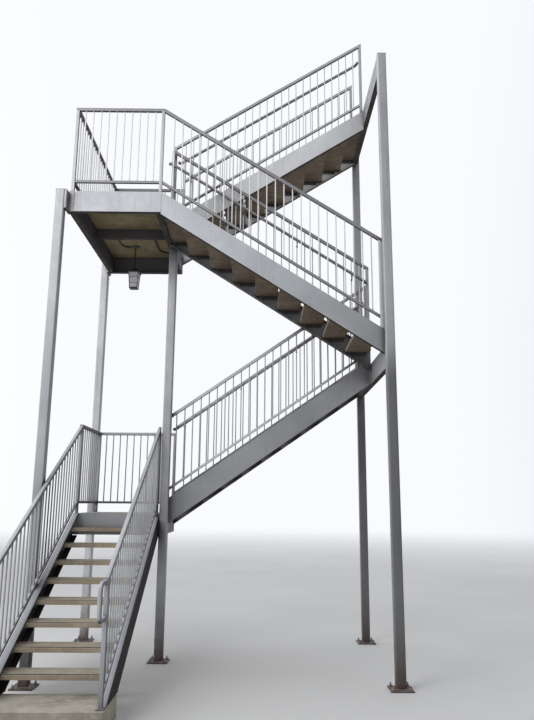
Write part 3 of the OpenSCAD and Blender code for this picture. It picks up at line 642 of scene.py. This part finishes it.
railpiece("rail_f1_left", "flight_1_left_railing", lambda bm: panel(bm, "y", F1L + C, END, Y2, top1(END), S1, RS1, (1, 0), RB, PAD), (M_RAIL, M_RAIL, M_RAIL))
railpiece("rail_f1_right", "flight_1_right_railing", lambda bm: panel(bm, "y", F1R - C, END, Y2, top1(END), S1, RS1, (1, 1), RB, PAD), (M_RAIL, M_RAIL, M_RAIL))
railpiece("rail_f2_near", "flight_2_near_railing", lambda bm: panel(bm, "x", Y2 + C, 0, EX, top2(0), S2, RS2, (1, 1), RB2), (M_RAIL, M_RAIL_2, M_RAIL))
railpiece("rail_f2_far", "flight_2_far_railing", lambda bm: panel(bm, "x", YB - C, 0, EX, top2(0), S2, RS2, (0, 1), RB2), (M_RAIL, M_RAIL_2, M_RAIL))
railpiece("rail_f3_near", "flight_3_near_railing", lambda bm: panel(bm, "x", C, 0, EX, top3(0), -S3, RS, (0, 1)), (M_RAIL_LIT, M_GRIP, M_BAL))
railpiece("rail_f3_far", "flight_3_far_railing", lambda bm: panel(bm, "x", SW - C, 0, EX, top3(0), -S3, RS, (0, 1)))
railpiece("rail_f4_near", "flight_4_near_railing", lambda bm: panel(bm, "x", Y2 + C, 0, EX, top4(0), S3, RS, (0, 1)), (M_RAIL, M_RAIL, M_BAL))
railpiece("rail_f4_far", "flight_4_far_railing", lambda bm: panel(bm, "x", YB - C, 0, EX, top4(0), S3, RS, (0, 1)), (M_RAIL, M_RAIL, M_BAL))
ML0 = ML + C - RT / 2
railpiece("rail_mid_front", "mid_front_railing", lambda bm: panel(bm, "x", C, ML0, 0, MID, 0, RH))
railpiece("rail_mid_left", "mid_left_railing", lambda bm: panel(bm, "y", ML + C, C + RT / 2, YB - C - RT / 2, MID, 0, RH, (0, 0)))
railpiece("rail_mid_back", "mid_back_railing", lambda bm: panel(bm, "x", YB - C, ML0, 0, MID, 0, RH))
railpiece("rail_low_left", "low_left_railing", lambda bm: panel(bm, "y", F1L + C, Y2, YB - C - RT / 2, LOW, 0, RH, (1, 0)), (M_RAIL, M_RAIL, M_RAIL))
railpiece("rail_low_back", "low_back_railing", lambda bm: panel(bm, "x", YB - C, F1L + C - RT / 2, 0, LOW, 0, RH), (M_RAIL, M_RAIL, M_RAIL))


def well_guard(bm):
    newel(bm, lambda z: W(-RT / 2, SW - C, z), EYy, MID, MID + RH + 17)
    newel(bm, lambda z: W(-RT / 2, Y2 + C, z), EYy, MID, top4(0) + RS + 10)
    for z in (MID + RB, MID + 560, MID + RH):
        bar(bm, W(-RT / 2, SW - C, z), W(-RT / 2, Y2 + C, z), 0.030, 0.030, EXx, r=0.0035, seg=3)


railpiece("rail_well_guard", "well_guard", well_guard)


def loop_pts(x):
    zt = top1(END) + RS1 - 6
    yo = END - LOOP + LOOP_R
    P = lambda y, z: W(x, y, z)
    pts = [P(END + 12, zt)]
    pts += arc(P(yo, zt - LOOP_R), EYy, EZz, 90, 180, LOOP_R / 1000, 10)
    pts += arc(P(yo, zt - LOOP_H + LOOP_R), EYy, EZz, 180, 270, LOOP_R / 1000, 10)
    pts += [P(END + 12, zt - LOOP_H)]
    return pts


def loops(bm):
    for x in (F1L + C, F1R - C):
        tube(bm, loop_pts(x), RT / 2000, 24, domed=(False, False))
        zt = top1(END) + RS1 - 6
        for z in (zt, zt - LOOP_H):
            lathe(bm_weld, W(x, END + 0.5, z), -EYy, [(0.0205, 0), (0.0215, 0.0015), (0.0200, 0.004), (0.0190, 0.005)], 20)


railpiece("rail_f1_loops", "flight_1_rail_loops", loops)

BN = math.ceil((EX - RT) / BS)
bx = lambda i: RT / 2 + i * (EX - RT) / BN


def hand(bm, x0, x1, top, rs, drop, y, d):
    """handrail pipe with its ends turned back to the railing, on bent rod brackets"""
    s = (top(x1) - top(x0)) / (x1 - x0)
    P = lambda x, yy=y: W(x, yy, top(x) + rs - drop)
    dirv = (P(x1) - P(x0)).normalized()
    sv = EYy * (-d)
    r = 0.045
    pts = []
    a0 = P(x0) + dirv * r
    pts += [a0 + sv * r * 1.05 - dirv * r]
    pts += [a0 + sv * r - (dirv * math.sin(math.radians(t)) + sv * math.cos(math.radians(t))) * r for t in (80, 65, 50, 35, 20, 8, 0)]
    b0 = P(x1) - dirv * r
    pts += [b0 + sv * r + (dirv * math.sin(math.radians(t)) - sv * math.cos(math.radians(t))) * r for t in (0, 8, 20, 35, 50, 65, 80)]
    pts += [b0 + sv * r * 1.05 + dirv * r]
    tube(bm, pts, HD_D / 2000, 22)
    for i in (2, 9, 16, 23):
        x = bx(i)
        c0 = P(x) - EZz * 0.019
        low_ = c0 - EZz * 0.030
        wall = W(x, y - d * (HO - BAL / 2), 0)
        wall.z = low_.z
        pts = [c0 + EZz * 0.004, c0 - EZz * 0.008]
        pts += [low_ + sv * 0.022 + EZz * 0.008 + (-sv * math.cos(math.radians(t)) - EZz * math.sin(math.radians(t))) * 0.022 for t in (0, 20, 40, 60, 80, 90)]
        pts += [Vector((wall.x, wall.y, pts[-1].z))]
        tube(bm, pts, 0.006, 12, domed=(False, False))
        lathe(bm, pts[-1], -sv, [(0.0125, -0.001), (0.0125, 0.003), (0.009, 0.0045)], 16)
        lathe(bm_weld, c0 + EZz * 0.001, -EZz, [(0.0095, 0), (0.0085, 0.003), (0.0065, 0.005)], 12)


def handpiece(name, node, mat, *a):
    bm = bmesh.new()
    hand(bm, *a)
    return finish_mesh(name, bm, mat, (node,))


HAND_NODES = [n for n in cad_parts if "handrail" in n]
if len(HAND_NODES) == 3:
    handpiece("handrail_f2", "flight_2_handrail", M_RAIL_2, 90, RUN - 60, top2, RS2, HDR2, Y2 + C + HO, 1)
    handpiece("handrail_f3", "flight_3_handrail", M_GRIP, -60, RUN - 60, top3, RS, HDR, SW - C - HO, -1)
    handpiece("handrail_f4", "flight_4_handrail", M_RAIL, 30, RUN - 60, top4, RS, HDR, Y2 + C + HO, 1)
else:
    bm = bmesh.new()
    hand(bm, 90, RUN - 60, top2, RS2, HDR2, Y2 + C + HO, 1)
    hand(bm, -60, RUN - 60, top3, RS, HDR, SW - C - HO, -1)
    hand(bm, 30, RUN - 60, top4, RS, HDR, Y2 + C + HO, 1)
    finish_mesh("handrail_pipes", bm, M_RAIL, tuple(HAND_NODES))

# ------------------------------------------------------------------ channels


def chpiece(name, node, fn, mat=None):
    bm = bmesh.new()
    fn(bm)
    return finish_mesh(name, bm, mat or M_FRAME, (node,), 30)


def stringers(top, s, ys, depth=CH):
    def fn(bm):
        for y, d in ys:
            channel(bm, W(0, y, top(0)), W(RUN, y, top(RUN)), depth, CF, CW, CT, EYy, d, kk(s))
    return fn


chpiece("stringers_f2", "flight_2_stringers", stringers(top2, S2, ((Y2, 1), (YB, -1)), CH2), M_FRAME_LOW)
chpiece("stringers_f3", "flight_3_stringers", stringers(top3, S3, ((0, 1), (SW, -1))), M_FRAME_3)
chpiece("stringers_f4", "flight_4_stringers", stringers(top4, S3, ((Y2, 1), (YB, -1))), M_FRAME_4)
MZ, LZ = MID - DECK, LOW - DECK


def mid_sides(bm):
    for y, d in ((0, 1), (YB, -1)):
        channel(bm, W(ML + CF, y, MID), W(0, y, MID), LD, CF, CW, CT, EYy, d)


def low_sides(bm):
    for y, d in ((Y2, 1), (YB, -1)):
        channel(bm, W(F1L + CF, y, LOW), W(-CF, y, LOW), LD, CF, CW, CT, EYy, d)


def low_cross(bm):
    channel(bm, W(F1L, Y2, LOW), W(F1L, YB + POST, LOW), LD, CF, CW, CT, EXx, 1)
    channel(bm, W(0, Y2, LOW), W(0, YB, LOW), LD, CF, CW, CT, EXx, -1)


chpiece("beams_mid_sides", "mid_side_beams", mid_sides)


def mid_left(bm):
    channel(bm, W(ML + CF, 0, MID), W(ML + CF, YB, MID), LD, CF, CW, CT, EXx, -1)
    for y in (5, YB - 5):
        bar(bm, W(ML + 28, y, MID - LD + CT), W(ML + 28, y, MID - CT), 0.056, 0.006, EXx, r=0.001, seg=1)
        s_ = 1 if y < 100 else -1
        for x in (ML + 2, ML + CF - CW - 1):
            bead(bm_weld, W(x, y - s_ * 3, MID - LD + CT + 2), W(x, y - s_ * 3, MID - CT - 2), 0.0025)


chpiece("beam_mid_left", "mid_left_beam", mid_left)
chpiece("beam_mid_inner", "mid_inner_beam", lambda bm: channel(bm, W(0, CF, MZ), W(0, YB - CF, MZ), CH, CF, CW, CT, EXx, -1))
chpiece("beam_mid_joist", "mid_joist", lambda bm: channel(bm, W(ML + CF, MPY - 22, MZ), W(-CF, MPY - 22, MZ), 127, 45, 5, 8, EYy, 1))
chpiece("beams_low_sides", "low_side_beams", low_sides, M_FRAME_OPEN)
chpiece("beams_low_cross", "low_cross_beams", low_cross, M_FRAME_OPEN)


def headers(bm):
    for z in (SECOND, THIRD):
        channel(bm, W(RUN, 0, z), W(RUN, YB, z), HD, CF, CW, CT, EXx, 1)


chpiece("headers", "walkway_headers", headers, M_FRAME_LOW)

# ------------------------------------------------------------------ posts


def posts():
    def one(name, node, x, y, zt, extra=None, mat=None):
        bm = bmesh.new()
        c = lambda z: W(x + POST / 2, y + POST / 2, z)
        bar(bm, c(14), c(zt - 8), POST / 1000, POST / 1000, EXx, r=0.016, seg=6)
        # cap plate with its weld
        bar(bm, c(zt - 8), c(zt), (POST - 1) / 1000, (POST - 1) / 1000, EXx, r=0.008, seg=4, ends=0.0012)
        weld_square(c(14), EXx, POST / 2 - 2)
        weld_square(c(zt - 9), EXx, POST / 2 - 1.5)
        if extra:
            extra(bm)
        finish_mesh(name, bm, mat or M_POST, (node,), 30)

    def seat(ya, yb_):
        def fn(bm):
            ym = (ya + yb_) / 2
            bar(bm, W(F1L + 12, ym, MID - LD), W(F1L + 12, ym, MZ), 0.0236, (yb_ - ya) / 1000, EXx, r=0.002, seg=2)
        return fn
    one("post_fl", "post_front_left", F1L - POST, -POST, MZ, seat(-POST + 4, 90))
    one("post_bl", "post_back_left", F1L - POST, YB, MZ, seat(YB - 90, YB + POST - 4), mat=M_POST_BACK)

    def pack_plate(bm):
        z = top1(MPY)
        bar(bm, W((F1R + MPX - POST / 2) / 2, MPY, z - 190), W((F1R + MPX - POST / 2) / 2, MPY, z - 60), 0.0119, 0.062, EXx, r=0.001, seg=1)
    one("post_mid", "post_middle", MPX - POST / 2, SW, MZ - CH, pack_plate)
    one("post_np", "post_walkway_near", RUN - 12, -POST, THIRD - DECK, mat=M_POST_NEAR)
    one("post_fp", "post_walkway_far", RUN - 12, YB, THIRD - DECK, mat=M_POST_FAR)


posts()

# ------------------------------------------------------------------ bolts and welds
bm = bmesh.new()
PC = [(F1L - 51, -51), (F1L - 51, YB + 51), (MPX, MPY), (RUN + 39, -51), (RUN + 39, YB + 51)]
for i, (x, y) in enumerate(PC):
    for sx in (-1, 1):
        for sy in (-1, 1):
            hexbolt(bm, W(x + sx * 85, y + sy * 85, 14), EZz, 0.016, 0.013, 0.016 + 0.008 * random.random(), turn=random.random())
# bolts that hold the brackets of the left posts to the left beam
for y in (30, 70, YB - 30, YB - 70):
    for z in (MZ - 60, MZ - CH + 60):
        hexbolt(bm, W(F1L + 24, y, z), EXx, 0.016, 0.012, 0.010, turn=random.random())
# bolts of flight 1 to the posts
for z in (top1(MPY) - 90, top1(MPY) - 155):
    hexbolt(bm, W(F1R - CW, MPY, z), -EXx, 0.014, 0.010, 0.008, turn=random.random())
finish_mesh("bolts", bm, M_BOLT)

wl = lambda a, b, r=0.0032: bead(bm_weld, a, b, r)
for y in (0, SW):
    wl(W(0.5, y + (1 if y == 0 else -1), MID - CH * kk(S3) + 4), W(0.5, y + (1 if y == 0 else -1), MID - DECK - 2))
# stringers to the walkway beams
for top, zt in ((top2, SECOND), (top3, SECOND), (top4, THIRD)):
    s = {top2: S2, top3: S3, top4: S3}[top]
    ys = ((Y2, 1), (YB, -1)) if top is not top3 else ((0, 1), (SW, -1))
    lo_, hi_ = max(zt - HD, top(RUN) - (CH2 if top is top2 else CH) * kk(s)), min(zt, top(RUN))
    for y, d in ys:
        wl(W(RUN - 1, y - d * 1.5, lo_ + 3), W(RUN - 1, y - d * 1.5, hi_ - 3))
for y, d in ((Y2, 1), (YB, -1)):
    wl(W(1, y - d * 1.5, LZ - CH + 6), W(1, y - d * 1.5, LZ - 4))
    wl(W(1, y - d * 1.5, MZ - 60), W(1, y - d * 1.5, MZ - 4))
for y in (0.0, YB):
    wl(W(ML + CF + 1, y + (-1.5 if y == 0 else 1.5), MZ - CH + 4), W(ML + CF + 1, y + (-1.5 if y == 0 else 1.5), MZ - 3))
for x in (F1L + CW + 6, F1R - CW - 6):
    wl(W(x, Y2 - 1.5, LZ - CH + 10), W(x, Y2 - 1.5, LZ - 12))
finish_mesh("welds", bm_weld, M_WELD)

# ------------------------------------------------------------------ treads: nosing strips
bm = bmesh.new()


def strip_x(x, y0, y1, z, w=0.0, n=3):
    for i in range(n):
        xx = x + i * 11
        bar(bm, W(xx, y0, z + 0.2), W(xx, y1, z + 0.2), 0.006, 0.0022, EXx, r=0.0008, seg=1, ends=0.0007)


def strip_y(y, x0, x1, z, n=3):
    for i in range(n):
        yy = y + i * 11
        bar(bm, W(x0, yy, z + 0.2), W(x1, yy, z + 0.2), 0.006, 0.0022, EYy, r=0.0008, seg=1, ends=0.0007)


for k in range(1, 9):
    strip_y(Y2 + O1 - k * G1 + 16, F1L + CF + 8, F1R - CF - 8, LOW - k * R1)
for k in range(1, 10):
    strip_x(X2N + (k - 1) * G2 + 16, Y2 + CF + 8, YB - CF - 8, LOW + k * R2)
    strip_x(-O3 + k * G3 - 38, CF + 8, SW - CF - 8, MID - k * R3)
    strip_x(X4N + (k - 1) * G3 + 16, Y2 + CF + 8, YB - CF - 8, MID + k * R3)
strip_x(X2N + 9 * G2 + 16, Y2 + CF + 8, YB - CF - 8, SECOND)
strip_y(Y2 + CF + 16, F1L + CF + 10, -CF - 10, LOW)
strip_x(-42, CF + 8, SW - CF - 8, MID)
finish_mesh("nosing_strips", bm, M_GRIT)

# ------------------------------------------------------------------ lantern
LX, LY = -582, 1577
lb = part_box("lantern")
LX = ((lb[0][0] + lb[1][0]) / 2 - X0) * 1000
LY = ((lb[0][1] + lb[1][1]) / 2 - Y0) * 1000
LB = lb[0][2] * 1000
bm = bmesh.new()
L = lambda x, y, z: W(LX + x, LY + y, z)
lathe(bm, L(0, 0, MZ - 0.5), -EZz, [(0.059, 0), (0.060, 0.003), (0.056, 0.010), (0.034, 0.016), (0.018, 0.021), (0.012, 0.030), (0.009, 0.033)], 32)
cyl(bm, L(0, 0, MZ - 30), L(0, 0, LB + 298), 0.0065, seg=14)
for z in (MZ - 120, MZ - 235):
    lathe(bm, L(0, 0, z), EZz, [(0.006, -0.008), (0.0095, -0.005), (0.0105, 0), (0.0095, 0.005), (0.006, 0.008)], 16)
# hipped roof with a rolled eave, and a small vent on top
for z0, z1, a0, a1 in ((224, 227, 79, 82), (227, 236, 82, 82), (236, 240, 82, 77), (240, 268, 74, 40), (268, 286, 39, 22), (286, 290, 27, 27), (290, 300, 24, 10)):
    ring = lambda a, z: [L(sx * a, sy * a, LB + z) for sx, sy in ((-1, -1), (1, -1), (1, 1), (-1, 1))]
    loft(bm, [ring(a0, z0), ring(a1, z1)])
# base tray
for z0, z1, a0, a1 in ((0, 4, 46, 53), (4, 10, 57, 58), (10, 15, 55, 55)):
    loft(bm, [ring(a0, z0), ring(a1, z1)])
lathe(bm, L(0, 0, LB + 0.5), EZz, [(0.006, 0.004), (0.012, 0.0005), (0.006, 0.0002)], 16)
hw = lambda z: 56 + (z - 12) * 16 / 212     # half width of the tapered body at height z
for sx in (-1, 1):
    for sy in (-1, 1):
        bar(bm, L(sx * (hw(12) - 5), sy * (hw(12) - 5), LB + 12), L(sx * (hw(226) - 5), sy * (hw(226) - 5), LB + 226), 0.008, 0.008, EXx, r=0.0015, seg=1)
for sgn in (-1, 1):
    for z in (70, 160):
        h_ = hw(z) - 5
        bar(bm, L(sgn * h_, -h_, LB + z), L(sgn * h_, h_, LB + z), 0.004, 0.004, EZz, r=0.0008, seg=1)
        bar(bm, L(-h_, sgn * h_, LB + z), L(h_, sgn * h_, LB + z), 0.004, 0.004, EZz, r=0.0008, seg=1)
cyl(bm, L(0, 0, LB + 225), L(0, 0, LB + 176), 0.016, 0.014, seg=20)
finish_mesh("lantern_frame", bm, M_DARK, ("lantern",))
bm = bmesh.new()
for sgn in (-1, 1):
    for ax in (0, 1):
        P_ = lambda u, d_, z: L(d_ * sgn, u, LB + z) if ax == 0 else L(u, d_ * sgn, LB + z)
        z0, z1 = 14, 225
        w0, w1 = hw(z0) - 8, hw(z1) - 8
        o0, i0, o1_, i1_ = hw(z0) - 6.5, hw(z0) - 9, hw(z1) - 6.5, hw(z1) - 9
        loft(bm, [[P_(-w0, i0, z0), P_(w0, i0, z0), P_(w0, o0, z0), P_(-w0, o0, z0)],
                  [P_(-w1, i1_, z1), P_(w1, i1_, z1), P_(w1, o1_, z1), P_(-w1, o1_, z1)]])
finish_mesh("lantern_panes", bm, M_GLASS)
bm = bmesh.new()
lathe(bm, L(0, 0, LB + 178), -EZz, [(0.013, 0), (0.014, 0.006), (0.022, 0.024), (0.029, 0.044), (0.030, 0.056), (0.025, 0.072), (0.014, 0.083), (0.004, 0.087)], 28)
finish_mesh("lantern_bulb", bm, M_BULB)

# conduit clips
bm = bmesh.new()
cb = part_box("conduit")
cz = (cb[0][2] + cb[1][2]) / 2
for px, ax in ((Vector((X0 - 0.775, Y0 + 1.30, cz)), EYy), (Vector((X0 - 0.290, Y0 + 1.25, cz)), EYy), (Vector((X0 - 0.290, Y0 + 1.62, cz)), EYy)):
    sv = ax.cross(EZz)
    pts = [px + sv * 0.026 + EZz * 0.0095, px + sv * 0.0125 + EZz * 0.0095]
    pts += [px + (sv * math.cos(math.radians(a)) + EZz * math.sin(math.radians(a))) * 0.0118 for a in (40, 10, -20, -50, -90, -130, -160, -190, -220)]
    pts += [px - sv * 0.0125 + EZz * 0.0095, px - sv * 0.026 + EZz * 0.0095]
    rings = [[p + ax * u for u in (-0.008, 0.008)] + [p + ax * u + (p - px).normalized() * 0.0015 for u in (0.008, -0.008)] for p in pts]
    loft(bm, rings)
finish_mesh("conduit_clips", bm, M_COND)

# ------------------------------------------------------------------ CAD nodes that stay


def keep(node, mat, bevel=None, seg=2, angle=30):
    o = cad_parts[node]
    for i in range(len(o.material_slots)):
        o.material_slots[i].material = mat
    if not o.material_slots:
        o.data.materials.append(mat)
    if bevel:
        w = o.modifiers.new("weld", "WELD")
        w.merge_threshold = 0.00002
        b = o.modifiers.new("bevel", "BEVEL")
        b.width = bevel
        b.segments = seg
        b.limit_method = "ANGLE"
        b.angle_limit = math.radians(angle)
        b.harden_normals = False


keep("base_plates", M_PLATE, 0.0015, 2)
keep("foot_step", M_STEP, 0.010, 3)
keep("mid_deck", M_DECK, 0.003, 2)
keep("low_deck", M_DECK, 0.003, 2)
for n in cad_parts:
    if n.endswith("_treads"):
        keep(n, M_TREAD, 0.004, 3)
    if n.endswith("tread_angles"):
        keep(n, M_ANGLE, 0.0008, 1)
keep("flight_1_stringers", M_STRINGER, 0.0012, 1)
keep("conduit", M_COND)

# ------------------------------------------------------------------ stage, camera, light
bm = bmesh.new()
bmesh.ops.create_circle(bm, cap_ends=True, radius=70, segments=96)
me = bpy.data.meshes.new("floor")
bm.to_mesh(me)
bm.free()
floor = bpy.data.objects.new("floor", me)
bpy.context.scene.collection.objects.link(floor)
t = Tree("floor_pale")
m = t.done(t.mix(t.rng(t.noise(0.4, 3, 0.5), 0.3, 0.7), (0.62, 0.62, 0.615), (0.66, 0.66, 0.655)), 0.9)
vl = t.n("ShaderNodeVectorMath", operation="LENGTH")
t.put(vl.inputs[0], t.co)
ms = t.n("ShaderNodeMixShader")
t.put(ms.inputs[0], t.rng(vl.outputs["Value"], 8.0, 42.0))
t.t.links.new(t.b.outputs[0], ms.inputs[1])
t.t.links.new(t.n("ShaderNodeBsdfTransparent").outputs[0], ms.inputs[2])
t.t.links.new(ms.outputs[0], t.out.inputs[0])
me.materials.append(m)

cam = bpy.data.cameras.new("camera")
co = bpy.data.objects.new("camera", cam)
bpy.context.scene.collection.objects.link(co)
F_PX, PITCH, YAW, ROLL = 673.0, math.radians(11.9346), math.radians(0.3654), math.radians(0.4149)
OX, OY, OZ = -1.1777, 7.1643, -1.7901
fwd = Vector((math.sin(YAW) * math.cos(PITCH), math.cos(YAW) * math.cos(PITCH), math.sin(PITCH)))
r0 = Vector((math.cos(YAW), -math.sin(YAW), 0))
u0 = r0.cross(fwd)
rt = r0 * math.cos(ROLL) + u0 * math.sin(ROLL)
up = u0 * math.cos(ROLL) - r0 * math.sin(ROLL)
cam.sensor_width = 36
cam.lens = F_PX / 720 * 36
pos = Vector((X0 - OX, Y0 - OY, -OZ))
mat = Matrix((rt, up, -fwd)).transposed().to_4x4()
mat.translation = pos
co.matrix_world = mat
cam.clip_start, cam.clip_end = 0.05, 500
bpy.context.scene.camera = co

bpy.context.scene.view_settings.view_transform = "Standard"
world = bpy.data.worlds.new("studio")
bpy.context.scene.world = world
world.use_nodes = True
wt = world.node_tree
bg = wt.nodes["Background"]
# plain white studio, a softbox wall on the left and less light from the right and from behind the camera
wc = wt.nodes.new("ShaderNodeTexCoord")
sp = wt.nodes.new("ShaderNodeSeparateXYZ")
wt.links.new(wc.outputs["Generated"], sp.inputs[0])


def wmap(out, a, b, lo, hi):
    x = wt.nodes.new("ShaderNodeMapRange")
    x.interpolation_type = "SMOOTHSTEP"
    wt.links.new(out, x.inputs["Value"])
    for k_, v_ in (("From Min", a), ("From Max", b), ("To Min", lo), ("To Max", hi)):
        x.inputs[k_].default_value = v_
    return x.outputs[0]


def wmul(a, b):
    x = wt.nodes.new("ShaderNodeMath")
    x.operation = "MULTIPLY"
    wt.links.new(a, x.inputs[0])
    wt.links.new(b, x.inputs[1])
    return x.outputs[0]


gx = wmap(sp.outputs[0], 0.25, 0.95, 1.0, 0.30)
gl = wmap(sp.outputs[0], -0.9, -0.2, 1.25, 1.0)
gy = wmap(sp.outputs[1], -0.8, 0.2, 0.38, 1.0)
wt.links.new(wmul(wmul(gx, gl), gy), bg.inputs[1])
bg.inputs[0].default_value = (0.95, 0.965, 1.0, 1)


def sun(name, frm, strength, angle, col=(1, 1, 1)):
    l = bpy.data.lights.new(name, "SUN")
    l.energy = strength
    l.angle = math.radians(angle)
    l.color = col
    o = bpy.data.objects.new(name, l)
    o.rotation_mode = "QUATERNION"
    o.rotation_quaternion = (-Vector(frm)).to_track_quat("-Z", "Y")
    bpy.context.scene.collection.objects.link(o)




def panel_light(name, at, to, size, watts, col=(1, 1, 1)):
    l = bpy.data.lights.new(name, "AREA")
    l.shape = "SQUARE"
    l.size = size
    l.energy = watts
    l.color = col
    o = bpy.data.objects.new(name, l)
    o.location = at
    o.rotation_mode = "QUATERNION"
    o.rotation_quaternion = (Vector(to) - Vector(at)).to_track_quat("-Z", "Y")
    o.visible_camera = False
    bpy.context.scene.collection.objects.link(o)


# one big softbox at the upper left, near enough that its light falls off towards the walkways
panel_light("softbox", (X0 - 2.4, Y0 - 4.6, 6.6), (X0 + 0.2, Y0 + 0.3, 3.6), 3.2, 190, (1, 0.995, 0.985))
sun("fill", (-0.86, -0.30, 0.62), 0.35, 40, (1, 0.99, 0.97))
